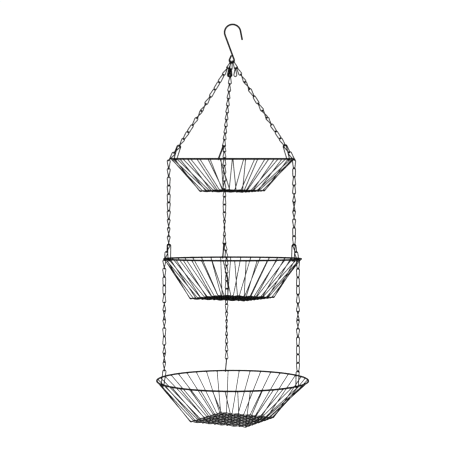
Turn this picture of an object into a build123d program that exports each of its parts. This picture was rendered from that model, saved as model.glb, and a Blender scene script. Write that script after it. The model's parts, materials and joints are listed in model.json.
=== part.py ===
from build123d import *
from math import asin, copysign, cos, degrees, pi, radians, sin, sqrt
import os

# Hanging wire basket: three round baskets, one above the other, on three chains and a hook.
#
# All of it is coated steel wire. The frame is in millimetres, +Z up, and the origin is the
# point inside the hook's crook that rests on whatever the hook hangs from.

os.makedirs("parts", exist_ok=True)

# Wire diameters
HOOK_WIRE = 3.0
RIM_WIRE = 3.0
MESH_WIRE = 1.6
LINK_WIRE = 1.8

# Clearances
LINK_GAP = 0.35  # between the wires of two links at a joint
RIM_GAP = 0.15  # between a hanger and the rim inside it
BUTT_GAP = 0.1  # at the butt joint of a link
EYE_GAP = 0.3  # between a starter link and the eye

# Hook: crook above, eye below, all radii to the wire's centreline
CROOK_RADIUS = 16.0
CROOK_END_ANGLE = 11.0  # how far above level the crook's arc ends at the tip side
TIP_LENGTH = 18.6
EYE_RADIUS = 4.8
CROOK_TO_EYE = 55.8  # centre to centre
EYE_SHIFT = 1.6  # how far the eye hangs to the left of the crook
EYE_LEG = 9.0  # the straight leg that closes the eye
SIDE_SEAT = 70.0  # where the side starters sit in the eye, in degrees from its lowest point
SEAT_SHIFT = 0.15  # how far a side starter moves back in the eye, as a share of its forward lean

# Chain links: width to the wire's centreline, corner radii
LINK_WIDTH = 7.4
LINK_CORNER = 2.9
SHARED_CORNER = 1.6  # tighter lower corners where one link carries two others

# Hangers: long flat loops from a chain joint down to a rim
HANGER_TOP_WIDTH = 6.8
HANGER_TOP_CORNER = 3.1
HANGER_RIM_WIDTH = 5.2
HANGER_RIM_CORNER = 2.4

# Where two loops share the bottom of one link, each sits this far from its middle
SHARE_OFFSET = 1.2

# Base mesh and wall bends
MESH_PITCH = 13.5
MESH_LAYER = 1.8  # height between the long-way and the cross-way wires
BEND_OUTSIDE = 1.3  # from the last crossing wire out to the bend
WALL_BEND = 4.0
WELD_DEPTH = 0.9  # how far a wire's end sinks into the rim

# Baskets: rim radius to the wire's centreline, depth from the rim to the middle of the mesh,
# wires each way, the direction that the long-way wires run in, rim height and tilt
BASKETS = {
    "top": dict(radius=123.0, depth=64.0, wires=8, turn=62.0, height=-266.7, tilt=3.86),
    "middle": dict(radius=137.0, depth=78.2, wires=10, turn=60.0, height=-466.2, tilt=0.0),
    "bottom": dict(radius=151.0, depth=78.4, wires=10, turn=62.0, height=-708.5, tilt=0.0),
}

# Chains: at each level, the direction of the joint, of the chain outside the rim, and of
# the hanger on the rim, in degrees from +X towards +Y
CHAINS = {
    "left": dict(joint=197.7, drop_1=197.7, drop_2=201.4, top=205.0, middle=206.2, bottom=206.0),
    "right": dict(joint=-25.0, drop_1=-24.7, drop_2=-28.0, top=-28.9, middle=-32.0, bottom=-35.2),
    "back": dict(joint=99.4, drop_1=97.4, drop_2=95.0, top=103.8, middle=98.6, bottom=95.6),
}

# Upper chains, from the starter links in the eye out to the joints over the top rim
STARTER_FOOT = {"left": (-8.9, -3.0), "right": (6.9, -4.1), "back": (-4.4, 9.7)}
STARTER_DROP = 86.0  # joint below the starter links, under the origin
UPPER_LINKS = 11
UPPER_SAG = 2.2  # how far the middle of an upper chain hangs below a straight line
UPPER_JOINT_RADIUS = {"left": 110.4, "right": 112.0, "back": 109.5}
UPPER_JOINT_HEIGHT = {"left": -243.4, "right": -243.4, "back": -233.0}
UPPER_ROLL = {"left": 72.0, "right": 115.0, "back": 0.0}  # turn of the first links
TAIL_LENGTH = 18.0

# Drops: the straight chains outside the rims
DROP_1_RADIUS = 131.5
DROP_1_TOP = -272.3
DROP_1_LINKS = 10
DROP_1_PITCH = 16.5
DROP_2_RADIUS = 143.0
DROP_2_TOP = -467.2
DROP_2_LINKS = 13
DROP_2_PITCH = 16.55
BACK_EXTRA_PITCH = 16.5  # one more link over the top rim at the back, which sits higher
OVER_RIM_LINKS = 2
# Turn of each link about its chain's line, from the top down
TURNS = {
    "left": dict(
        upper=(72, 108, 125, 114, 84, 52, 16, -20, -54, -32, 0),
        drop_1=(-14, -12, -46, -30, -48, -38, -24, 0, 9, 0),
        drop_2=(-10, -30, -58, -62, -94, -120, -153, -186, -221, -258, -298, -336, -360),
    ),
    "right": dict(
        upper=(115, 90, 50, 9, -32, -73, -114, -155, -194, -208, -180),
        drop_1=(0, -20, -52, -50, -80, -114, -144, -169, -200, -180),
        drop_2=(0, -8, -34, -28, -50, -64, -98, -136, -163, -187, -201, -198, -180),
    ),
    "back": dict(
        upper=(0, -6, -12, -12, -10, -12, -12, -10, -12, -6, 0),
        drop_1=(-180, -180, -188, -188, -164, -131, -98, -65, -32, 0),
        drop_2=(-180, -180, -180, -165, -140, -118, -100, -78, -55, -33, -12, -5, 0),
    ),
}


def polar(radius, azimuth, height):
    """Point at a radius, a direction in degrees and a height."""
    return Vector(radius * cos(radians(azimuth)), radius * sin(radians(azimuth)), height)


def radial(azimuth):
    """Level unit vector that points outwards."""
    return polar(1, azimuth, 0)


def tangent(azimuth):
    """Level unit vector along a rim."""
    return radial(azimuth + 90)


def basket_place(name):
    """Location of a basket: its rim's centre, with its tilt."""
    basket = BASKETS[name]
    return Pos(0, 0, basket["height"]) * Rot(basket["tilt"], 0, 0)


def on_rim(name, azimuth):
    """Point on the rim's centreline."""
    point = Pos(polar(BASKETS[name]["radius"], azimuth, 0))
    return (basket_place(name) * point).position


def wire_along(path, diameter):
    """Round wire along a path."""
    section = Plane(origin=path @ 0, z_dir=path % 0) * Circle(diameter / 2)
    return sweep(section, path=path)


def bent_wire(points, radii, diameter):
    """Round wire through points, with a bend radius at each inner point."""
    return wire_along(FilletPolyline(*points, radius=radii), diameter)


def closed_loop(corners, radii, diameter):
    """Wire loop through four corners, with its butt joint in the middle of the last side."""
    middle = (corners[0] + corners[3]) / 2
    half_gap = (corners[0] - corners[3]).normalized() * (BUTT_GAP / 2)
    points = [middle + half_gap, *corners, middle - half_gap]
    return bent_wire(points, radii, diameter)


def link(crest, foot, azimuth, roll, shared=False):
    """Chain link from the middle of its top wire to that of its bottom wire, a quarter turn apart."""
    axis = crest - foot
    half_height = axis.length / 2
    half_width = LINK_WIDTH / 2
    corners = [
        Vector(-half_width, 0, half_height),
        Vector(half_width, 0, half_height),
        Vector(0, half_width, -half_height),
        Vector(0, -half_width, -half_height),
    ]
    low_corner = SHARED_CORNER if shared else LINK_CORNER
    loop = closed_loop(corners, [LINK_CORNER, LINK_CORNER, low_corner, low_corner], LINK_WIRE)
    return link_place(crest, foot, azimuth, roll) * loop


def link_place(crest, foot, azimuth, roll):
    """Place of a link: Z up its axis, X along its top wire, Y along its bottom wire."""
    plane = Plane(origin=(crest + foot) / 2, x_dir=radial(azimuth), z_dir=crest - foot)
    return plane.location * Rot(0, 0, roll)


def without_lean(direction, azimuth):
    """A direction with its sideways part, along the rim, taken out."""
    return direction - tangent(azimuth) * direction.dot(tangent(azimuth))


def crest_on_bar(bar, target, azimuth, offset):
    """Middle of the top wire of a loop that hangs on a bar along the rim and leads to a target."""
    up = without_lean(bar - target, azimuth).normalized()
    return bar + tangent(azimuth) * offset + up * (LINK_WIRE + LINK_GAP)


def hanger(crest, rim_point, azimuth):
    """Long flat loop from its crest on a chain joint down round a rim."""
    axis = (crest - rim_point).normalized()
    under_rim = (RIM_WIRE / 2 + LINK_WIRE / 2 + RIM_GAP) / without_lean(axis, azimuth).length
    foot = rim_point - axis * under_rim
    half_height = (crest - foot).length / 2
    corners = [
        Vector(-HANGER_TOP_WIDTH / 2, 0, half_height),
        Vector(HANGER_TOP_WIDTH / 2, 0, half_height),
        Vector(HANGER_RIM_WIDTH / 2, 0, -half_height),
        Vector(-HANGER_RIM_WIDTH / 2, 0, -half_height),
    ]
    radii = [HANGER_TOP_CORNER, HANGER_TOP_CORNER, HANGER_RIM_CORNER, HANGER_RIM_CORNER]
    return link_place(crest, foot, azimuth, 0) * closed_loop(corners, radii, LINK_WIRE)


def joints_between(upper, lower, count, sag=0):
    """Joint points of a run of links, from the top one to the bottom one, straight or sagging."""
    shares = [i / count for i in range(count + 1)]
    return [upper + (lower - upper) * t - Vector(0, 0, 4 * sag * t * (1 - t)) for t in shares]


def foot_above(joint, upper):
    """Middle of the bottom wire of the link that comes down to a joint."""
    return joint - (upper - joint).normalized() * ((LINK_WIRE + LINK_GAP) / 2)


def run_of_links(joints, azimuth, rolls, first_crest=None, shared_end=False):
    """One link between each two joints. The last may carry two loops."""
    last = len(rolls) - 1
    half_contact = (LINK_WIRE + LINK_GAP) / 2
    links = []
    for i, roll in enumerate(rolls):
        up = (joints[i] - joints[i + 1]).normalized()
        crest = first_crest if i == 0 and first_crest else joints[i] + up * half_contact
        foot = joints[i + 1] - up * half_contact
        links.append(link(crest, foot, azimuth, roll, shared=shared_end and i == last))
    return links


def crook_centre():
    return Vector(0, 0, HOOK_WIRE / 2 - CROOK_RADIUS)


def eye_centre():
    drop = sqrt(CROOK_TO_EYE**2 - EYE_SHIFT**2)
    return crook_centre() - Vector(EYE_SHIFT, 0, drop)


def make_hook():
    """One wire: crook, straight shank and the closed eye, all in the XZ plane."""
    crook, eye = crook_centre(), eye_centre()
    slant = degrees(asin((CROOK_RADIUS + EYE_RADIUS) / CROOK_TO_EYE))
    lean = degrees(asin(EYE_SHIFT / CROOK_TO_EYE))

    def around(centre, radius, angle):
        return centre + Vector(cos(radians(angle)), 0, sin(radians(angle))) * radius

    arc_start = around(crook, CROOK_RADIUS, CROOK_END_ANGLE)
    tip = arc_start + Vector(sin(radians(CROOK_END_ANGLE)), 0, -cos(radians(CROOK_END_ANGLE))) * TIP_LENGTH
    crook_end = around(crook, CROOK_RADIUS, 180 + slant - lean)
    eye_start = around(eye, EYE_RADIUS, slant - lean)
    eye_end = around(eye, EYE_RADIUS, 180 - slant - lean)
    leg_end = eye_end + Vector(sin(radians(slant + lean)), 0, cos(radians(slant + lean))) * EYE_LEG
    path = Wire(
        [
            Edge.make_line(tip, arc_start),
            Edge.make_three_point_arc(arc_start, around(crook, CROOK_RADIUS, 90), crook_end),
            Edge.make_line(crook_end, eye_start),
            Edge.make_three_point_arc(eye_start, around(eye, EYE_RADIUS, 270), eye_end),
            Edge.make_line(eye_end, leg_end),
        ]
    )
    return [wire_along(path, HOOK_WIRE)]


def starter_joint(name):
    """Joint below a starter link."""
    return Vector(*STARTER_FOOT[name], -STARTER_DROP)


def starter_crest(name):
    """Middle of a starter link's top wire, in the eye: the back one under, the others beside it."""
    eye = eye_centre()
    clear = HOOK_WIRE / 2 + LINK_WIRE / 2 + EYE_GAP
    if name == "back":
        wire_middle = eye - Vector(0, 0, EYE_RADIUS)
        return wire_middle + (wire_middle - starter_joint(name)).normalized() * clear
    angle = radians(SIDE_SEAT if name == "right" else -SIDE_SEAT)
    seat = eye + Vector(sin(angle), 0, -cos(angle)) * (EYE_RADIUS - clear)
    return seat - Vector(0, starter_joint(name).Y * SEAT_SHIFT, 0)


def starter_foot(name):
    return foot_above(starter_joint(name), starter_crest(name))


def starter_bar(name):
    """Unit vector along a starter link's bottom wire, from the tail's side to the chain's."""
    azimuth = CHAINS[name]["joint"]
    place = link_place(starter_crest(name), starter_foot(name), azimuth, UPPER_ROLL[name])
    return place.position - (place * Pos(0, 1, 0)).position


def chain_crest(name):
    """Middle of the top wire of an upper chain, on its starter's bottom wire."""
    up = (starter_crest(name) - starter_foot(name)).normalized()
    return starter_foot(name) + up * (LINK_WIRE + LINK_GAP) + starter_bar(name) * SHARE_OFFSET


def tail_crest(name):
    """Middle of the top wire of a tail, beside the chain: square to both wires where they cross."""
    bar = starter_bar(name)
    up = bar.cross(radial(CHAINS[name]["joint"] + UPPER_ROLL[name])).normalized()
    rise = up * copysign(LINK_WIRE + LINK_GAP, up.Z)
    return starter_foot(name) + rise - bar * SHARE_OFFSET


def upper_joint(name):
    """Joint over the top rim, where upper chain, hanger and over-rim links meet."""
    return polar(UPPER_JOINT_RADIUS[name], CHAINS[name]["joint"], UPPER_JOINT_HEIGHT[name])


def drop_joints(level, name):
    """Joints of a straight chain, from outside the rim down to the next basket's joint."""
    if level == 1:
        radius, top, count, pitch = DROP_1_RADIUS, DROP_1_TOP, DROP_1_LINKS, DROP_1_PITCH
    else:
        radius, top, count, pitch = DROP_2_RADIUS, DROP_2_TOP, DROP_2_LINKS, DROP_2_PITCH
    upper = polar(radius, CHAINS[name][f"drop_{level}"], top)
    return joints_between(upper, upper - Vector(0, 0, pitch * count), count)


def over_rim_side(name, rim):
    """Which way the hanger sits on a shared link: towards its place on the rim."""
    drop = {"top": "drop_1", "middle": "drop_2"}[rim]
    return copysign(1, CHAINS[name][rim] - CHAINS[name][drop])


def make_starter(name):
    crest, foot = starter_crest(name), starter_foot(name)
    return [link(crest, foot, CHAINS[name]["joint"], UPPER_ROLL[name], shared=True)]


def make_tail(name):
    """The cut end of a chain: one link that hangs straight down beside the chain."""
    crest = tail_crest(name)
    return [link(crest, crest - Vector(0, 0, TAIL_LENGTH), CHAINS[name]["joint"], UPPER_ROLL[name])]


def upper_joints(name):
    """Joints of an upper chain, from its starter down to the joint over the top rim."""
    return joints_between(chain_crest(name), upper_joint(name), UPPER_LINKS, UPPER_SAG)


def make_upper_chain(name):
    joints, azimuth = upper_joints(name), CHAINS[name]["joint"]
    return run_of_links(joints, azimuth, TURNS[name]["upper"], first_crest=joints[0], shared_end=True)


def upper_bar(name):
    """Middle of the bottom wire of an upper chain, over the top rim."""
    joints = upper_joints(name)
    return foot_above(joints[-1], joints[-2])


def drop_bar(level, name):
    """Middle of the bottom wire of a straight chain."""
    joints = drop_joints(level, name)
    return foot_above(joints[-1], joints[0])


def make_hanger(rim, name, bar, shared=True):
    azimuth = CHAINS[name][rim]
    rim_point = on_rim(rim, azimuth)
    offset = SHARE_OFFSET * over_rim_side(name, rim) if shared else 0
    return [hanger(crest_on_bar(bar, rim_point, azimuth, offset), rim_point, azimuth)]


def make_over_rim(rim, name, bar, outside, azimuth):
    """The slanted links that lead the chain over the outside of a rim."""
    crest = crest_on_bar(bar, outside, azimuth, -SHARE_OFFSET * over_rim_side(name, rim))
    joints = joints_between(crest, outside, OVER_RIM_LINKS)
    return run_of_links(joints, azimuth, [0] * OVER_RIM_LINKS, first_crest=crest)


def make_over_top_rim(name):
    azimuth = CHAINS[name]["drop_1"]
    outside = drop_joints(1, name)[0]
    if name != "back":
        return make_over_rim("top", name, upper_bar(name), outside, azimuth)
    raised = outside + Vector(0, 0, BACK_EXTRA_PITCH)
    slanted = make_over_rim("top", name, upper_bar(name), raised, azimuth)
    return slanted + run_of_links([raised, outside], azimuth, [0])


def make_over_middle_rim(name):
    azimuth = CHAINS[name]["drop_2"]
    return make_over_rim("middle", name, drop_bar(1, name), drop_joints(2, name)[0], azimuth)


def make_drop(level, name):
    """A straight chain as its first link, the links between, and its last link."""
    joints = drop_joints(level, name)
    drop = f"drop_{level}"
    links = run_of_links(joints, CHAINS[name][drop], TURNS[name][drop], shared_end=level == 1)
    return {"first_link": links[:1], "chain": links[1:-1], "last_link": links[-1:]}


def make_rim(name):
    ring = Torus(BASKETS[name]["radius"], RIM_WIRE / 2)
    return [basket_place(name) * ring]


def make_mesh_wires(name, crossing):
    """Wires that run one way: weld on the rim, wall, bend, base, bend, wall, weld."""
    basket = BASKETS[name]
    count = basket["wires"]
    spacing = 90 / count
    last_crossing = MESH_PITCH * (count - 1) / 2
    bend = last_crossing + BEND_OUTSIDE
    layer = -MESH_LAYER / 2 if crossing else MESH_LAYER / 2
    base = layer - basket["depth"]
    turn = basket["turn"] + (90 if crossing else 0)
    wires = []
    for i in range(count):
        step = i - (count - 1) / 2
        across = step * MESH_PITCH
        bends = [Vector(bend, across, base), Vector(-bend, across, base)]
        rim_points = [
            polar(basket["radius"], step * spacing, 0),
            polar(basket["radius"], 180 - step * spacing, 0),
        ]
        ends = [
            point + (corner - point).normalized() * (RIM_WIRE / 2 - WELD_DEPTH)
            for point, corner in zip(rim_points, bends)
        ]
        wires.append(bent_wire([ends[0], *bends, ends[1]], WALL_BEND, MESH_WIRE))
    return [basket_place(name) * Rot(0, 0, turn) * wire for wire in wires]


def make_parts():
    """Every node's solids, by the node's name."""
    nodes = {"hook": make_hook()}
    for side in CHAINS:
        nodes[f"starter_link_{side}"] = make_starter(side)
        nodes[f"tail_link_{side}"] = make_tail(side)
        nodes[f"upper_chain_{side}"] = make_upper_chain(side)
        nodes[f"top_hanger_{side}"] = make_hanger("top", side, upper_bar(side))
        nodes[f"over_top_rim_links_{side}"] = make_over_top_rim(side)
        nodes[f"middle_hanger_{side}"] = make_hanger("middle", side, drop_bar(1, side))
        nodes[f"over_middle_rim_links_{side}"] = make_over_middle_rim(side)
        nodes[f"bottom_hanger_{side}"] = make_hanger("bottom", side, drop_bar(2, side), False)
        for level, basket in ((1, "middle"), (2, "bottom")):
            for piece, links in make_drop(level, side).items():
                nodes[f"{basket}_{piece}_{side}"] = links
    for basket in BASKETS:
        nodes[f"{basket}_rim"] = make_rim(basket)
        nodes[f"{basket}_long_wires"] = make_mesh_wires(basket, crossing=False)
        nodes[f"{basket}_cross_wires"] = make_mesh_wires(basket, crossing=True)
    return nodes


def main():
    for node, solids in make_parts().items():
        shape = solids[0] if len(solids) == 1 else Compound(children=solids)
        export_step(shape, f"parts/{node}.step")


main()
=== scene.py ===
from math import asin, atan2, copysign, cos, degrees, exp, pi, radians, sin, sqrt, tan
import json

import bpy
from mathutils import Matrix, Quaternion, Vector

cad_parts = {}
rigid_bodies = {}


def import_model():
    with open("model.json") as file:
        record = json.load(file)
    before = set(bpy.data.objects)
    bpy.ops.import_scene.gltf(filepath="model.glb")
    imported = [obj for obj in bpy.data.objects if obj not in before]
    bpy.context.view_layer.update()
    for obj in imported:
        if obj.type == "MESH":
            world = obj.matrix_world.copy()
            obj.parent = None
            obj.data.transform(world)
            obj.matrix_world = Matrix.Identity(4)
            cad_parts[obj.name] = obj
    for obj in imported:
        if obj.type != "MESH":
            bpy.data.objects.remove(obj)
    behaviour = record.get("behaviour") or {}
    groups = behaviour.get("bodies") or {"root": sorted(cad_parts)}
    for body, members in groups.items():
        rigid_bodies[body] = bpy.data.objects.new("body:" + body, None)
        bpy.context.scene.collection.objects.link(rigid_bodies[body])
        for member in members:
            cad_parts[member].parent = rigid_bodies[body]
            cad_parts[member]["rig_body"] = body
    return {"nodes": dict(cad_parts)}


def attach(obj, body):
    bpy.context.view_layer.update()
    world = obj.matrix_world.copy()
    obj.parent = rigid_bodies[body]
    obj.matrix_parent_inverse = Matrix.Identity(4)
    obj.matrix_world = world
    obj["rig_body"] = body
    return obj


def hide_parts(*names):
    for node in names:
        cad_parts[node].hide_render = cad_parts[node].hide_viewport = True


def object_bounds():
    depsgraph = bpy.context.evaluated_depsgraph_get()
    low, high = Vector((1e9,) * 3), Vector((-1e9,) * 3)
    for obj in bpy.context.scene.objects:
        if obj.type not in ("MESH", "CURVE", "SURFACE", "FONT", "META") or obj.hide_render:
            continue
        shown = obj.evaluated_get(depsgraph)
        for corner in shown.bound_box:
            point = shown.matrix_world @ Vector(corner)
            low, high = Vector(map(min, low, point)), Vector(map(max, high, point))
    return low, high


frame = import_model()
cad_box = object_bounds()

# Looks of the three-tier hanging wire basket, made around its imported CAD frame.
#
# Every CAD node is replaced by a coated wire piece of the same name and size: round wire with
# domed ends, links with their butt seams, a woven base mesh and weld beads along the rims.
# Lengths below are in millimetres, as in the CAD, and scaled to metres when a mesh is made.

MM = 0.001

# Wire diameters
HOOK_WIRE = 3.0
RIM_WIRE = 3.0
MESH_WIRE = 1.6
LINK_WIRE = 1.8

# Play at the joints, as in the CAD, and a little less under the rims
LINK_GAP = 0.35
RIM_GAP = 0.08
EYE_GAP = 0.3

# Hook
CROOK_RADIUS = 16.0
CROOK_END_ANGLE = 11.0
TIP_LENGTH = 18.6
EYE_RADIUS = 4.8
CROOK_TO_EYE = 55.8
EYE_SHIFT = 1.6
EYE_LEG = 9.0
SIDE_SEAT = 70.0
SEAT_SHIFT = 0.15

# Links and hangers
LINK_WIDTH = 7.4
LINK_CORNER = 3.5
SHARED_CORNER = 1.7
HANGER_TOP_WIDTH = 6.8
HANGER_TOP_CORNER = 3.2
HANGER_RIM_WIDTH = 5.2
HANGER_RIM_CORNER = 2.5
SHARE_OFFSET = 1.2

# Base mesh and walls
MESH_PITCH = 13.5
WEAVE_HEIGHT = 0.82
BEND_OUTSIDE = 1.3
WALL_BEND = 4.0
WELD_DEPTH = 0.9

BASKETS = {
    "top": dict(radius=123.0, depth=64.0, wires=8, turn=62.0, height=-266.7, tilt=3.86),
    "middle": dict(radius=137.0, depth=78.2, wires=10, turn=60.0, height=-466.2, tilt=0.0),
    "bottom": dict(radius=151.0, depth=78.4, wires=10, turn=62.0, height=-708.5, tilt=0.0),
}
CHAINS = {
    "left": dict(joint=197.7, drop_1=197.7, drop_2=201.4, top=205.0, middle=206.2, bottom=206.0),
    "right": dict(joint=-25.0, drop_1=-24.7, drop_2=-28.0, top=-28.9, middle=-32.0, bottom=-35.2),
    "back": dict(joint=99.4, drop_1=97.4, drop_2=95.0, top=103.8, middle=98.6, bottom=95.6),
}
STARTER_FOOT = {"left": (-8.9, -3.0), "right": (6.9, -4.1), "back": (-4.4, 9.7)}
STARTER_DROP = 86.0
UPPER_LINKS = 11
UPPER_SAG = 2.2
UPPER_JOINT_RADIUS = {"left": 110.4, "right": 112.0, "back": 109.5}
UPPER_JOINT_HEIGHT = {"left": -243.4, "right": -243.4, "back": -233.0}
UPPER_ROLL = {"left": 72.0, "right": 115.0, "back": 0.0}
TAIL_LENGTH = 18.0
DROP_RADIUS = {1: 131.5, 2: 143.0}
DROP_TOP = {1: -272.3, 2: -467.2}
DROP_LINKS = {1: 10, 2: 13}
DROP_PITCH = {1: 16.5, 2: 16.55}
BACK_EXTRA_PITCH = 16.5
OVER_RIM_LINKS = 2
# Turn of each link about its chain's line, in degrees, from the top down
TURNS = {
    "left": dict(
        upper=(72, 108, 125, 114, 84, 52, 16, -20, -54, -32, 0),
        drop_1=(-14, -12, -46, -30, -48, -38, -24, 0, 9, 0),
        drop_2=(-10, -30, -58, -62, -94, -120, -153, -186, -221, -258, -298, -336, -360),
    ),
    "right": dict(
        upper=(115, 90, 50, 9, -32, -73, -114, -155, -194, -208, -180),
        drop_1=(0, -20, -52, -50, -80, -114, -144, -169, -200, -180),
        drop_2=(0, -8, -34, -28, -50, -64, -98, -136, -163, -187, -201, -198, -180),
    ),
    "back": dict(
        upper=(0, -6, -12, -12, -10, -12, -12, -10, -12, -6, 0),
        drop_1=(-180, -180, -188, -188, -164, -131, -98, -65, -32, 0),
        drop_2=(-180, -180, -180, -165, -140, -118, -100, -78, -55, -33, -12, -5, 0),
    ),
}


# ---------------------------------------------------------------- camera, floor and light


# Places and distances in metres, lens and sensor in millimetres
CAMERA_AT = (-0.0052, -2.175, -0.4087)
LOOKS_AT = (-0.0052, 0.0, -0.4087)
LENS = 85.3
SENSOR = 36.0
FLOOR_BELOW = 0.16
FLOOR_REACH = 60.0
FLOOR_SIDES = 96
BACKDROP_STRENGTH = 1.05
SURROUND_STRENGTH = 0.12
TONE_GAMMA = 0.6


def add_aimed(name, data, location, target):
    """Adds a camera or a light that looks at a point."""
    obj = bpy.data.objects.new(name, data)
    bpy.context.scene.collection.objects.link(obj)
    obj.location = location
    direction = Vector(target) - obj.location
    obj.rotation_euler = direction.to_track_quat("-Z", "Y").to_euler()
    return obj


def make_camera():
    data = bpy.data.cameras.new("camera")
    data.lens = LENS
    data.sensor_width = SENSOR
    bpy.context.scene.camera = add_aimed("camera", data, CAMERA_AT, LOOKS_AT)


def area_light(name, location, target, size, power):
    data = bpy.data.lights.new(name, "AREA")
    data.shape = "RECTANGLE"
    data.size, data.size_y = size
    data.energy = power
    add_aimed(name, data, location, target)


def soft_sun(name, location, target, width, strength):
    data = bpy.data.lights.new(name, "SUN")
    data.angle = radians(width)
    data.energy = strength
    add_aimed(name, data, location, target)


def make_world():
    """White behind everything the camera sees, and a dim surround for the wires themselves."""
    world = bpy.data.worlds.new("studio")
    bpy.context.scene.world = world
    world.use_nodes = True
    nodes, links = world.node_tree.nodes, world.node_tree.links
    nodes.clear()
    output = nodes.new("ShaderNodeOutputWorld")
    mix = nodes.new("ShaderNodeMixShader")
    path = nodes.new("ShaderNodeLightPath")
    links.new(path.outputs["Is Camera Ray"], mix.inputs["Fac"])
    for socket, strength in ((1, SURROUND_STRENGTH), (2, BACKDROP_STRENGTH)):
        white = nodes.new("ShaderNodeBackground")
        white.inputs["Color"].default_value = (1.0, 1.0, 1.0, 1.0)
        white.inputs["Strength"].default_value = strength
        links.new(white.outputs[0], mix.inputs[socket])
    links.new(mix.outputs[0], output.inputs["Surface"])


def make_floor(height):
    mesh = bpy.data.meshes.new("floor")
    angles = [2 * pi * i / FLOOR_SIDES for i in range(FLOOR_SIDES)]
    rim = [(FLOOR_REACH * cos(a), FLOOR_REACH * sin(a), height) for a in angles]
    mesh.from_pydata(rim, [], [list(range(FLOOR_SIDES))])
    floor = bpy.data.objects.new("floor", mesh)
    bpy.context.scene.collection.objects.link(floor)
    material = bpy.data.materials.new("pale_floor")
    material.use_nodes = True
    shader = material.node_tree.nodes["Principled BSDF"]
    shader.inputs["Base Color"].default_value = (0.9, 0.9, 0.9, 1.0)
    shader.inputs["Roughness"].default_value = 0.9
    shader.inputs["Specular IOR Level"].default_value = 0.1
    shader.inputs["Emission Color"].default_value = (1.0, 1.0, 1.0, 1.0)
    shader.inputs["Emission Strength"].default_value = 0.72
    mesh.materials.append(material)


make_camera()
make_world()
make_floor(cad_box[0].z - FLOOR_BELOW)
soft_sun("sky_box", (-0.8, -1.6, 1.8), (0, 0, -0.4), width=90.0, strength=1.3)
area_light("front_box", (-0.3, -3.2, 0.5), (0, 0, -0.45), size=(3.6, 1.6), power=30.0)
bpy.context.scene.view_settings.view_transform = "Standard"
bpy.context.scene.view_settings.gamma = TONE_GAMMA


# ---------------------------------------------------------------- material


def noise(tree, scale, detail, source, roughness=0.5):
    node = tree.nodes.new("ShaderNodeTexNoise")
    node.inputs["Scale"].default_value = scale
    node.inputs["Detail"].default_value = detail
    node.inputs["Roughness"].default_value = roughness
    tree.links.new(source, node.inputs["Vector"])
    return node.outputs["Fac"]


def spread(tree, value, low, high, to_low=0.0, to_high=1.0):
    """Maps the middle of a noise, from low to high, onto a new range."""
    node = tree.nodes.new("ShaderNodeMapRange")
    node.inputs["From Min"].default_value = low
    node.inputs["From Max"].default_value = high
    node.inputs["To Min"].default_value = to_low
    node.inputs["To Max"].default_value = to_high
    tree.links.new(value, node.inputs["Value"])
    return node.outputs["Result"]


def mixed_colour(tree, factor, first, second):
    node = tree.nodes.new("ShaderNodeMix")
    node.data_type = "RGBA"
    tree.links.new(factor, node.inputs["Factor"])
    for value, socket in ((first, node.inputs[6]), (second, node.inputs[7])):
        if isinstance(value, tuple):
            socket.default_value = (*value, 1.0)
        else:
            tree.links.new(value, socket)
    return node.outputs[2]


def maths(tree, operation, first, second):
    node = tree.nodes.new("ShaderNodeMath")
    node.operation = operation
    for value, socket in ((first, node.inputs[0]), (second, node.inputs[1])):
        if isinstance(value, float):
            socket.default_value = value
        else:
            tree.links.new(value, socket)
    return node.outputs[0]


def coated_wire(name, dark, light, rough, peel, worn):
    """Black coat on steel wire: uneven tone and gloss, orange peel, and steel where it has rubbed.

    peel is the depth of the orange peel in metres. The lower worn is, the sooner steel shows.
    """
    material = bpy.data.materials.new(name)
    material.use_nodes = True
    tree = material.node_tree
    shader = tree.nodes["Principled BSDF"]
    place = tree.nodes.new("ShaderNodeTexCoord").outputs["Object"]
    attribute = tree.nodes.new("ShaderNodeAttribute")
    attribute.attribute_name = "wear"

    cloud = spread(tree, noise(tree, 55.0, 3.0, place), 0.35, 0.65)
    grain = spread(tree, noise(tree, 900.0, 2.0, place), 0.3, 0.7)
    cloud_share = maths(tree, "MULTIPLY", cloud, 0.65)
    grain_share = maths(tree, "MULTIPLY", grain, 0.35)
    tone = maths(tree, "ADD", cloud_share, grain_share)
    coat = mixed_colour(tree, tone, dark, light)

    scuff = spread(tree, noise(tree, 700.0, 4.0, place, 0.65), 0.42, 0.62)
    rubbed = maths(tree, "MULTIPLY", attribute.outputs["Fac"], scuff)
    bare = spread(tree, rubbed, worn, worn + 0.18)
    steel = mixed_colour(tree, grain, (0.10, 0.098, 0.095), (0.20, 0.195, 0.19))
    tree.links.new(mixed_colour(tree, bare, coat, steel), shader.inputs["Base Color"])

    gloss = spread(tree, noise(tree, 140.0, 3.0, place), 0.3, 0.7, rough - 0.07, rough + 0.09)
    dulled = maths(tree, "ADD", gloss, maths(tree, "MULTIPLY", attribute.outputs["Fac"], 0.06))
    tree.links.new(dulled, shader.inputs["Roughness"])
    tree.links.new(maths(tree, "MULTIPLY", bare, 0.85), shader.inputs["Metallic"])

    bump = tree.nodes.new("ShaderNodeBump")
    bump.inputs["Strength"].default_value = 0.55
    bump.inputs["Distance"].default_value = peel
    waves = noise(tree, 620.0, 2.0, place)
    dents = maths(tree, "SUBTRACT", waves, maths(tree, "MULTIPLY", bare, 0.5))
    tree.links.new(dents, bump.inputs["Height"])
    tree.links.new(bump.outputs["Normal"], shader.inputs["Normal"])
    shader.inputs["IOR"].default_value = 1.5
    shader.inputs["Specular IOR Level"].default_value = 0.3
    return material


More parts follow.
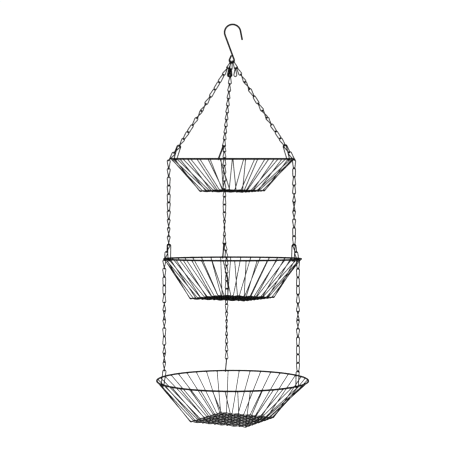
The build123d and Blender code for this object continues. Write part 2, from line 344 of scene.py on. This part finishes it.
BLACK = (0.006, 0.006, 0.0065)
SOFT_BLACK = (0.007, 0.007, 0.0075)
GREYER = (0.017, 0.017, 0.018)
MESH_GREY = (0.018, 0.018, 0.019)
CHAIN_GREY = (0.020, 0.020, 0.021)
MATERIALS = {
    "hook_wire": coated_wire("hook_coat", BLACK, GREYER, rough=0.33, peel=0.00010, worn=0.62),
    "rim_wire": coated_wire("rim_coat", BLACK, GREYER, rough=0.36, peel=0.00010, worn=0.70),
    "mesh_wire": coated_wire("mesh_coat", BLACK, MESH_GREY, rough=0.38, peel=0.00007, worn=0.70),
    "chain_wire": coated_wire("chain_coat", SOFT_BLACK, CHAIN_GREY, rough=0.35, peel=0.00008, worn=0.58),
}


# ---------------------------------------------------------------- wire meshes


def arc_points(before, corner, after, radius, parts):
    """Points on the arc that rounds a corner, ends included."""
    back, ahead = (before - corner).normalized(), (after - corner).normalized()
    half = back.angle(ahead) / 2
    reach = radius / tan(half)
    centre = corner + (back + ahead).normalized() * (radius / sin(half))
    start, end = corner + back * reach - centre, corner + ahead * reach - centre
    sweep = start.angle(end)
    axis = start.cross(end).normalized()
    return [centre + Quaternion(axis, sweep * i / parts) @ start for i in range(parts + 1)]


def run_points(start, end, step):
    """Points inside a straight run, its ends left out."""
    count = max(1, round((end - start).length / step))
    return [start.lerp(end, i / count) for i in range(1, count)]


def rounded_loop(corners, radii, step, arc_parts):
    """Closed path round corners."""
    count = len(corners)
    arcs = [
        arc_points(corners[i - 1], corners[i], corners[(i + 1) % count], radii[i], arc_parts)
        for i in range(count)
    ]
    path = []
    for i, arc in enumerate(arcs):
        path += arc + run_points(arc[-1], arcs[(i + 1) % count][0], step)
    return path


def rounded_run(points, radius, step, arc_parts):
    """Open path through points, rounded at the inner ones."""
    path = [points[0]]
    for i in range(1, len(points) - 1):
        arc = arc_points(points[i - 1], points[i], points[i + 1], radius, arc_parts)
        path += run_points(path[-1], arc[0], step) + arc
    return path + run_points(path[-1], points[-1], step) + [points[-1]]


def distances(path):
    along = [0.0]
    for a, b in zip(path, path[1:]):
        along.append(along[-1] + (b - a).length)
    return along


DOME_RISE = 0.55  # of the wire's radius


class WireMesh:
    """Collects round wires into one mesh, with how worn each ring is."""

    def __init__(self):
        self.points, self.faces, self.wear = [], [], []

    def ring(self, centre, across, up, radius, sides, wear, bias):
        start = len(self.points)
        for k in range(sides):
            angle = 2 * pi * k / sides
            out = across * cos(angle) + up * sin(angle)
            self.points.append(centre + out * radius)
            facing = 0.5 + 0.5 * out.dot(bias) if bias else 1
            self.wear.append(wear * facing)
        return start

    def bridge(self, first, second, sides):
        for k in range(sides):
            n = (k + 1) % sides
            self.faces.append((first + k, first + n, second + n, second + k))

    def wire(self, path, radii, sides, closed=False, wear=None, bias=None):
        """One wire along a path. radii, wear and bias (the worn side) hold a value for each point."""
        count = len(path)
        last = count - 1
        wear = wear or [0.0] * count
        bias = bias or [None] * count
        if closed:
            ahead = [(path[(i + 1) % count] - path[i - 1]).normalized() for i in range(count)]
        else:
            ahead = [(path[min(i + 1, last)] - path[max(i - 1, 0)]).normalized() for i in range(count)]
        across = ahead[0].orthogonal().normalized()
        frames = [across]
        for a, b in zip(ahead, ahead[1:]):
            across = a.rotation_difference(b) @ across
            across = (across - b * across.dot(b)).normalized()
            frames.append(across)
        twist = 0.0
        if closed:
            carried = ahead[-1].rotation_difference(ahead[0]) @ frames[-1]
            twist = atan2(carried.cross(frames[0]).dot(ahead[0]), carried.dot(frames[0]))
        rings = []
        for i in range(count):
            turned = Quaternion(ahead[i], twist * i / count) @ frames[i]
            up = ahead[i].cross(turned)
            rings.append(self.ring(path[i], turned, up, radii[i], sides, wear[i], bias[i]))
        for a, b in zip(rings, rings[1:]):
            self.bridge(a, b, sides)
        if closed:
            self.bridge(rings[-1], rings[0], sides)
        else:
            self.dome(path[0], ahead[0], frames[0], radii[0], rings[0], sides, at_end=False)
            self.dome(path[-1], ahead[-1], frames[-1], radii[-1], rings[-1], sides, at_end=True)

    def dome(self, centre, forward, across, radius, edge, sides, at_end):
        """Rounded cut end of a wire, from its edge ring out to a pole."""
        up = forward.cross(across)
        outwards = forward if at_end else -forward
        previous = edge
        for angle in (28.0, 52.0, 72.0):
            lift = outwards * (radius * DOME_RISE * sin(radians(angle)))
            ring = self.ring(centre + lift, across, up, radius * cos(radians(angle)), sides, 0.0, None)
            if at_end:
                self.bridge(previous, ring, sides)
            else:
                self.bridge(ring, previous, sides)
            previous = ring
        pole = len(self.points)
        self.points.append(centre + outwards * (radius * DOME_RISE))
        self.wear.append(0.0)
        for k in range(sides):
            near, far = previous + k, previous + (k + 1) % sides
            self.faces.append((near, far, pole) if at_end else (far, near, pole))

    def finish(self, node):
        """Makes the object that stands for a CAD node."""
        mesh = bpy.data.meshes.new(f"{node}_coated")
        mesh.from_pydata([p * MM for p in self.points], [], self.faces)
        mesh.polygons.foreach_set("use_smooth", [True] * len(mesh.polygons))
        mesh.attributes.new("wear", "FLOAT", "POINT").data.foreach_set("value", self.wear)
        mesh.materials.append(MATERIALS[slot_of(node)])
        piece = bpy.data.objects.new(f"{node}_coated", mesh)
        bpy.context.scene.collection.objects.link(piece)
        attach(piece, frame["nodes"][node]["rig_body"])
        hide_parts(node)


def slot_of(node):
    if node == "hook":
        return "hook_wire"
    if node.endswith("_rim"):
        return "rim_wire"
    return "mesh_wire" if node.endswith("_wires") else "chain_wire"


# ---------------------------------------------------------------- places, as in the CAD


def polar(radius, azimuth, height):
    return Vector((radius * cos(radians(azimuth)), radius * sin(radians(azimuth)), height))


def radial(azimuth):
    return polar(1, azimuth, 0)


def tangent(azimuth):
    return radial(azimuth + 90)


def basket_place(name):
    basket = BASKETS[name]
    return Matrix.Translation((0, 0, basket["height"])) @ Matrix.Rotation(radians(basket["tilt"]), 4, "X")


def on_rim(name, azimuth):
    return basket_place(name) @ polar(BASKETS[name]["radius"], azimuth, 0)


def link_place(crest, foot, azimuth, roll):
    """Place of a link: Z up its axis, X along its top wire, Y along its bottom wire."""
    up = (crest - foot).normalized()
    side = radial(azimuth)
    side = (side - up * side.dot(up)).normalized()
    turned = Matrix((side, up.cross(side), up)).transposed().to_4x4()
    return Matrix.Translation((crest + foot) / 2) @ turned @ Matrix.Rotation(radians(roll), 4, "Z")


def without_lean(direction, azimuth):
    return direction - tangent(azimuth) * direction.dot(tangent(azimuth))


def crest_on_bar(bar, target, azimuth, offset):
    up = without_lean(bar - target, azimuth).normalized()
    return bar + tangent(azimuth) * offset + up * (LINK_WIRE + LINK_GAP)


def joints_between(upper, lower, count, sag=0):
    shares = [i / count for i in range(count + 1)]
    return [upper.lerp(lower, t) - Vector((0, 0, 4 * sag * t * (1 - t))) for t in shares]


def foot_above(joint, upper):
    return joint - (upper - joint).normalized() * ((LINK_WIRE + LINK_GAP) / 2)


def crook_centre():
    return Vector((0, 0, HOOK_WIRE / 2 - CROOK_RADIUS))


def eye_centre():
    return crook_centre() - Vector((EYE_SHIFT, 0, sqrt(CROOK_TO_EYE**2 - EYE_SHIFT**2)))


def starter_joint(name):
    return Vector((*STARTER_FOOT[name], -STARTER_DROP))


def starter_crest(name):
    eye = eye_centre()
    clear = HOOK_WIRE / 2 + LINK_WIRE / 2 + EYE_GAP
    if name == "back":
        wire_middle = eye - Vector((0, 0, EYE_RADIUS))
        return wire_middle + (wire_middle - starter_joint(name)).normalized() * clear
    angle = radians(SIDE_SEAT if name == "right" else -SIDE_SEAT)
    seat = eye + Vector((sin(angle), 0, -cos(angle))) * (EYE_RADIUS - clear)
    return seat - Vector((0, starter_joint(name).y * SEAT_SHIFT, 0))


def starter_foot(name):
    return foot_above(starter_joint(name), starter_crest(name))


def starter_bar(name):
    place = link_place(starter_crest(name), starter_foot(name), CHAINS[name]["joint"], UPPER_ROLL[name])
    return -(place.to_3x3() @ Vector((0, 1, 0))).normalized()


def chain_crest(name):
    up = (starter_crest(name) - starter_foot(name)).normalized()
    return starter_foot(name) + up * (LINK_WIRE + LINK_GAP) + starter_bar(name) * SHARE_OFFSET


def tail_crest(name):
    bar = starter_bar(name)
    up = bar.cross(radial(CHAINS[name]["joint"] + UPPER_ROLL[name])).normalized()
    rise = up * copysign(LINK_WIRE + LINK_GAP, up.z)
    return starter_foot(name) + rise - bar * SHARE_OFFSET


def upper_joint(name):
    return polar(UPPER_JOINT_RADIUS[name], CHAINS[name]["joint"], UPPER_JOINT_HEIGHT[name])


def drop_joints(level, name):
    upper = polar(DROP_RADIUS[level], CHAINS[name][f"drop_{level}"], DROP_TOP[level])
    count = DROP_LINKS[level]
    return joints_between(upper, upper - Vector((0, 0, DROP_PITCH[level] * count)), count)


def upper_joints(name):
    return joints_between(chain_crest(name), upper_joint(name), UPPER_LINKS, UPPER_SAG)


def upper_bar(name):
    joints = upper_joints(name)
    return foot_above(joints[-1], joints[-2])


def drop_bar(level, name):
    joints = drop_joints(level, name)
    return foot_above(joints[-1], joints[0])


def over_rim_side(name, rim):
    drop = {"top": "drop_1", "middle": "drop_2"}[rim]
    return copysign(1, CHAINS[name][rim] - CHAINS[name][drop])


# ---------------------------------------------------------------- links and hangers


SEAM_WIDTH = 0.35
SEAM_DEPTH = 0.22  # of the wire's radius
SEAM_STEPS = (-2.4, -1.5, -0.9, -0.45, 0, 0.45, 0.9, 1.5, 2.4)  # in seam widths
SEAM_REACH = 3.0  # in seam widths
RUB_REACH = 2.4
LINK_SIDES = 12
LINK_STEP = 1.1
LINK_ARC_PARTS = 9


def loop_of_wire(mesh, place, corners, radii):
    """Closed wire loop with the seam of its butt joint and rubbed bearing spots at top and bottom."""
    path = [place @ p for p in rounded_loop(corners, radii, LINK_STEP, LINK_ARC_PARTS)]
    seam = place @ ((corners[0] + corners[3]) / 2)
    path = finer_near(path, seam)
    top = place @ ((corners[0] + corners[1]) / 2)
    foot = place @ ((corners[2] + corners[3]) / 2)
    down = (foot - top).normalized()
    sizes, wear, bias = [], [], []
    for p in path:
        gap = (p - seam).length
        sizes.append(LINK_WIRE / 2 * (1 - SEAM_DEPTH * exp(-((gap / SEAM_WIDTH) ** 2))))
        to_top, to_foot = (p - top).length, (p - foot).length
        wear.append(exp(-((min(to_top, to_foot) / RUB_REACH) ** 2)))
        bias.append(down if to_top < to_foot else -down)
    mesh.wire(path, sizes, LINK_SIDES, closed=True, wear=wear, bias=bias)


def finer_near(path, spot):
    """Adds points to a closed path round a spot on one of its straight runs."""
    nearest = min(range(len(path)), key=lambda i: (path[i] - spot).length)
    ahead = (path[(nearest + 1) % len(path)] - path[nearest - 1]).normalized()
    extra = [spot + ahead * (SEAM_WIDTH * k) for k in SEAM_STEPS]
    reach = SEAM_WIDTH * SEAM_REACH
    kept = [i for i in range(len(path)) if (path[i] - spot).length > reach]
    last = next(i for i in kept if (i + 1) % len(path) not in kept)
    order = path[last + 1:] + path[:last + 1]
    return [p for p in order if (p - spot).length > reach] + extra


def link(mesh, crest, foot, azimuth, roll, shared=False):
    half_height, half_width = (crest - foot).length / 2, LINK_WIDTH / 2
    corners = [
        Vector((-half_width, 0, half_height)),
        Vector((half_width, 0, half_height)),
        Vector((0, half_width, -half_height)),
        Vector((0, -half_width, -half_height)),
    ]
    low = SHARED_CORNER if shared else LINK_CORNER
    radii = [LINK_CORNER, LINK_CORNER, low, low]
    loop_of_wire(mesh, link_place(crest, foot, azimuth, roll), corners, radii)


def hanger(mesh, crest, rim_point, azimuth):
    """Long flat loop from its crest on a chain joint down round a rim."""
    axis = (crest - rim_point).normalized()
    under_rim = (RIM_WIRE / 2 + LINK_WIRE / 2 + RIM_GAP) / without_lean(axis, azimuth).length
    foot = rim_point - axis * under_rim
    half_height = (crest - foot).length / 2
    corners = [
        Vector((-HANGER_TOP_WIDTH / 2, 0, half_height)),
        Vector((HANGER_TOP_WIDTH / 2, 0, half_height)),
        Vector((HANGER_RIM_WIDTH / 2, 0, -half_height)),
        Vector((-HANGER_RIM_WIDTH / 2, 0, -half_height)),
    ]
    radii = [HANGER_TOP_CORNER, HANGER_TOP_CORNER, HANGER_RIM_CORNER, HANGER_RIM_CORNER]
    loop_of_wire(mesh, link_place(crest, foot, azimuth, 0), corners, radii)


def run_of_links(joints, azimuth, rolls, first_crest=None, shared_end=False):
    """Places of the links, one between each two joints."""
    half_contact = (LINK_WIRE + LINK_GAP) / 2
    made = []
    for i, roll in enumerate(rolls):
        up = (joints[i] - joints[i + 1]).normalized()
        crest = first_crest if i == 0 and first_crest else joints[i] + up * half_contact
        foot = joints[i + 1] - up * half_contact
        made.append((crest, foot, azimuth, roll, shared_end and i == len(rolls) - 1))
    return made


def make_links(node, places):
    mesh = WireMesh()
    for place in places:
        link(mesh, *place)
    mesh.finish(node)


def make_hanger(node, rim, name, bar, shared=True):
    azimuth = CHAINS[name][rim]
    rim_point = on_rim(rim, azimuth)
    offset = SHARE_OFFSET * over_rim_side(name, rim) if shared else 0
    mesh = WireMesh()
    hanger(mesh, crest_on_bar(bar, rim_point, azimuth, offset), rim_point, azimuth)
    mesh.finish(node)


def over_rim(rim, name, bar, outside, azimuth):
    """Places of the slanted links that lead the chain over the outside of a rim."""
    crest = crest_on_bar(bar, outside, azimuth, -SHARE_OFFSET * over_rim_side(name, rim))
    joints = joints_between(crest, outside, OVER_RIM_LINKS)
    return run_of_links(joints, azimuth, [0] * OVER_RIM_LINKS, first_crest=crest)


def over_top_rim(name):
    azimuth = CHAINS[name]["drop_1"]
    outside = drop_joints(1, name)[0]
    if name != "back":
        return over_rim("top", name, upper_bar(name), outside, azimuth)
    raised = outside + Vector((0, 0, BACK_EXTRA_PITCH))
    slanted = over_rim("top", name, upper_bar(name), raised, azimuth)
    return slanted + run_of_links([raised, outside], azimuth, [0])


def upper_chain(name):
    joints, azimuth = upper_joints(name), CHAINS[name]["joint"]
    turns = TURNS[name]["upper"]
    return run_of_links(joints, azimuth, turns, first_crest=joints[0], shared_end=True)


def make_chain_pieces(name):
    """Every link and hanger of one chain, from the hook to the bottom rim."""
    azimuth = CHAINS[name]["joint"]
    first_roll = UPPER_ROLL[name]
    crest = tail_crest(name)
    starter = (starter_crest(name), starter_foot(name), azimuth, first_roll, True)
    make_links(f"starter_link_{name}", [starter])
    make_links(f"tail_link_{name}", [(crest, crest - Vector((0, 0, TAIL_LENGTH)), azimuth, first_roll)])
    make_links(f"upper_chain_{name}", upper_chain(name))
    make_hanger(f"top_hanger_{name}", "top", name, upper_bar(name))
    make_links(f"over_top_rim_links_{name}", over_top_rim(name))
    make_hanger(f"middle_hanger_{name}", "middle", name, drop_bar(1, name))
    outside = drop_joints(2, name)[0]
    places = over_rim("middle", name, drop_bar(1, name), outside, CHAINS[name]["drop_2"])
    make_links(f"over_middle_rim_links_{name}", places)
    make_hanger(f"bottom_hanger_{name}", "bottom", name, drop_bar(2, name), False)
    for level, basket in ((1, "middle"), (2, "bottom")):
        joints, drop = drop_joints(level, name), f"drop_{level}"
        places = run_of_links(joints, CHAINS[name][drop], TURNS[name][drop], shared_end=level == 1)
        make_links(f"{basket}_first_link_{name}", places[:1])
        make_links(f"{basket}_chain_{name}", places[1:-1])
        make_links(f"{basket}_last_link_{name}", places[-1:])


# ---------------------------------------------------------------- hook, rims and mesh


CROOK_RUB = 9.0
EYE_RUB = 5.0
HOOK_SIDES = 20


def make_hook():
    """One wire: crook, straight shank and the closed eye, all in the XZ plane."""
    crook, eye = crook_centre(), eye_centre()
    slant = degrees(asin((CROOK_RADIUS + EYE_RADIUS) / CROOK_TO_EYE))
    lean = degrees(asin(EYE_SHIFT / CROOK_TO_EYE))

    def around(centre, radius, first, last):
        parts = max(2, round(abs(last - first) / 5.0))
        angles = [radians(first + (last - first) * i / parts) for i in range(parts + 1)]
        return [centre + Vector((cos(a), 0, sin(a))) * radius for a in angles]

    arc = around(crook, CROOK_RADIUS, CROOK_END_ANGLE, 180 + slant - lean)
    end = radians(CROOK_END_ANGLE)
    tip = arc[0] + Vector((sin(end), 0, -cos(end))) * TIP_LENGTH
    loop = around(eye, EYE_RADIUS, slant - lean, -slant - lean - 180)
    leg = loop[-1] + Vector((sin(radians(slant + lean)), 0, cos(radians(slant + lean)))) * EYE_LEG
    path = [tip, *run_points(tip, arc[0], 1.2), *arc, *run_points(arc[-1], loop[0], 1.6), *loop]
    path += [*run_points(loop[-1], leg, 1.0), leg]
    dome = DOME_RISE * HOOK_WIRE / 2
    path[0] = path[0].lerp(path[1], dome / (path[1] - path[0]).length)
    path[-1] = path[-1].lerp(path[-2], dome / (path[-1] - path[-2]).length)
    bearing = Vector((0, 0, HOOK_WIRE / 2))
    bottom = eye - Vector((0, 0, EYE_RADIUS))
    wear, bias = [], []
    for p in path:
        to_bearing, to_bottom = (p - bearing).length, (p - bottom).length
        wear.append(max(exp(-((to_bearing / CROOK_RUB) ** 2)), exp(-((to_bottom / EYE_RUB) ** 2))))
        bias.append(Vector((0, 0, -1 if to_bearing < to_bottom else 1)))
    mesh = WireMesh()
    mesh.wire(path, [HOOK_WIRE / 2] * len(path), HOOK_SIDES, wear=wear, bias=bias)
    mesh.finish("hook")


RIM_WELD_AT = {"top": 146.0, "middle": 128.0, "bottom": 152.0}
RIM_WELD_SWELL = 0.28
RIM_WELD_LENGTH = 2.6
RIM_GROOVE_DEPTH = 0.14
RIM_GROOVE_WIDTH = 0.7
RIM_RUB = 4.0
RIM_PARTS = 288
RIM_SIDES = 16
WELD_STEP = 0.9
WELD_STEPS = 9
RIM_CLEAR = 9.0


def make_rim(name):
    """Ring with the slight swelling of its butt weld, at the back."""
    radius = BASKETS[name]["radius"]
    weld = RIM_WELD_AT[name]
    near = [weld + degrees(k * WELD_STEP / radius) for k in range(-WELD_STEPS, WELD_STEPS + 1)]
    clear = degrees(RIM_CLEAR / radius)
    rest = [weld + clear + (360 - 2 * clear) * i / RIM_PARTS for i in range(1, RIM_PARTS)]
    angles = near + rest
    place = basket_place(name)
    path = [place @ polar(radius, a, 0) for a in angles]
    sizes = []
    for a in angles:
        gap = radians((a - weld + 180) % 360 - 180) * radius
        swell = RIM_WELD_SWELL * exp(-((gap / RIM_WELD_LENGTH) ** 2))
        groove = RIM_GROOVE_DEPTH * exp(-((gap / RIM_GROOVE_WIDTH) ** 2))
        sizes.append(RIM_WIRE / 2 + swell - groove)
    rubbed = [on_rim(name, CHAINS[side][name]) for side in CHAINS]
    wear = [max(exp(-(((p - spot).length / RIM_RUB) ** 2)) for spot in rubbed) for p in path]
    mesh = WireMesh()
    mesh.wire(path, sizes, RIM_SIDES, closed=True, wear=wear, bias=[Vector((0, 0, -1))] * len(path))
    mesh.finish(f"{name}_rim")


BEAD_FLARE = 0.5
BEAD_REACH = 0.75
BEAD_STEPS = (0.45, 0.9, 1.2, 1.6, 2.1, 2.7, 3.5, 4.6)
BEAD_CLEAR = 5.5
WALL_STEP = 3.0
WALL_ARC_PARTS = 8
WEAVE_PARTS = 8
BEND_KEPT = 0.7  # how far inside the last crossing the bend's own points are kept
MESH_SIDES = 10


def make_mesh_wires(name, crossing):
    """Wires that run one way, woven over and under the others, with a weld bead at each end."""
    basket = BASKETS[name]
    count = basket["wires"]
    spacing = 90 / count
    last_crossing = MESH_PITCH * (count - 1) / 2
    bend = last_crossing + BEND_OUTSIDE
    turn = basket["turn"] + (90 if crossing else 0)
    place = basket_place(name) @ Matrix.Rotation(radians(turn), 4, "Z")
    side = -1 if crossing else 1
    mesh = WireMesh()
    for i in range(count):
        step = i - (count - 1) / 2
        across = step * MESH_PITCH
        phase = [side * weave_sign(i, j, count, crossing) for j in range(count)]
        first = Vector((-bend, across, -basket["depth"] + WEAVE_HEIGHT * phase[0]))
        last = Vector((bend, across, -basket["depth"] + WEAVE_HEIGHT * phase[-1]))
        ends = []
        for corner, azimuth in ((first, 180 - step * spacing), (last, step * spacing)):
            rim_point = polar(basket["radius"], azimuth, 0)
            ends.append(rim_point + (corner - rim_point).normalized() * (RIM_WIRE / 2 - WELD_DEPTH))
        path = rounded_run([ends[0], first, last, ends[1]], WALL_BEND, WALL_STEP, WALL_ARC_PARTS)
        path = [p for p in path if abs(p.x) >= last_crossing - BEND_KEPT]
        left, right = [p for p in path if p.x < 0], [p for p in path if p.x > 0]
        left, right = finer_end(left), list(reversed(finer_end(list(reversed(right)))))
        inner = woven_points(count, across, phase, -basket["depth"])
        path = left + inner + right
        along = distances(path)
        sizes = [MESH_WIRE / 2 + flare(min(s, along[-1] - s)) for s in along]
        mesh.wire([place @ p for p in path], sizes, MESH_SIDES)
    mesh.finish(f"{name}_cross_wires" if crossing else f"{name}_long_wires")


def weave_sign(i, j, count, crossing):
    """1 or -1 in turn along and across, so that one wire passes over where the other passes under.

    A cross wire is turned a quarter, so it meets the long wires in the opposite order.
    """
    return (-1) ** (i + (count - 1 - j if crossing else j))


def flare(from_end):
    """How much a wire's radius grows into its weld bead."""
    return BEAD_FLARE * exp(-max(0.0, from_end - WELD_DEPTH) / BEAD_REACH)


def finer_end(path):
    """More points over the first few millimetres of a path, where its weld bead is."""
    direction = (path[1] - path[0]).normalized()
    extra = [path[0] + direction * d for d in BEAD_STEPS]
    return [path[0], *extra] + [p for p in path[1:] if (p - path[0]).length > BEAD_CLEAR]


def woven_points(count, across, phase, level):
    """The crimped part of a wire, between its last crossings."""
    reach = MESH_PITCH * (count - 1) / 2
    points = []
    for step in range(1, (count - 1) * WEAVE_PARTS):
        j, k = divmod(step, WEAVE_PARTS)
        share = k / WEAVE_PARTS
        blend = (1 - cos(pi * share)) / 2
        height = WEAVE_HEIGHT * (phase[j] + (phase[j + 1] - phase[j]) * blend)
        points.append(Vector((-reach + MESH_PITCH * (j + share), across, level + height)))
    return points


make_hook()
for chain in CHAINS:
    make_chain_pieces(chain)
for basket_name in BASKETS:
    make_rim(basket_name)
    make_mesh_wires(basket_name, crossing=False)
    make_mesh_wires(basket_name, crossing=True)
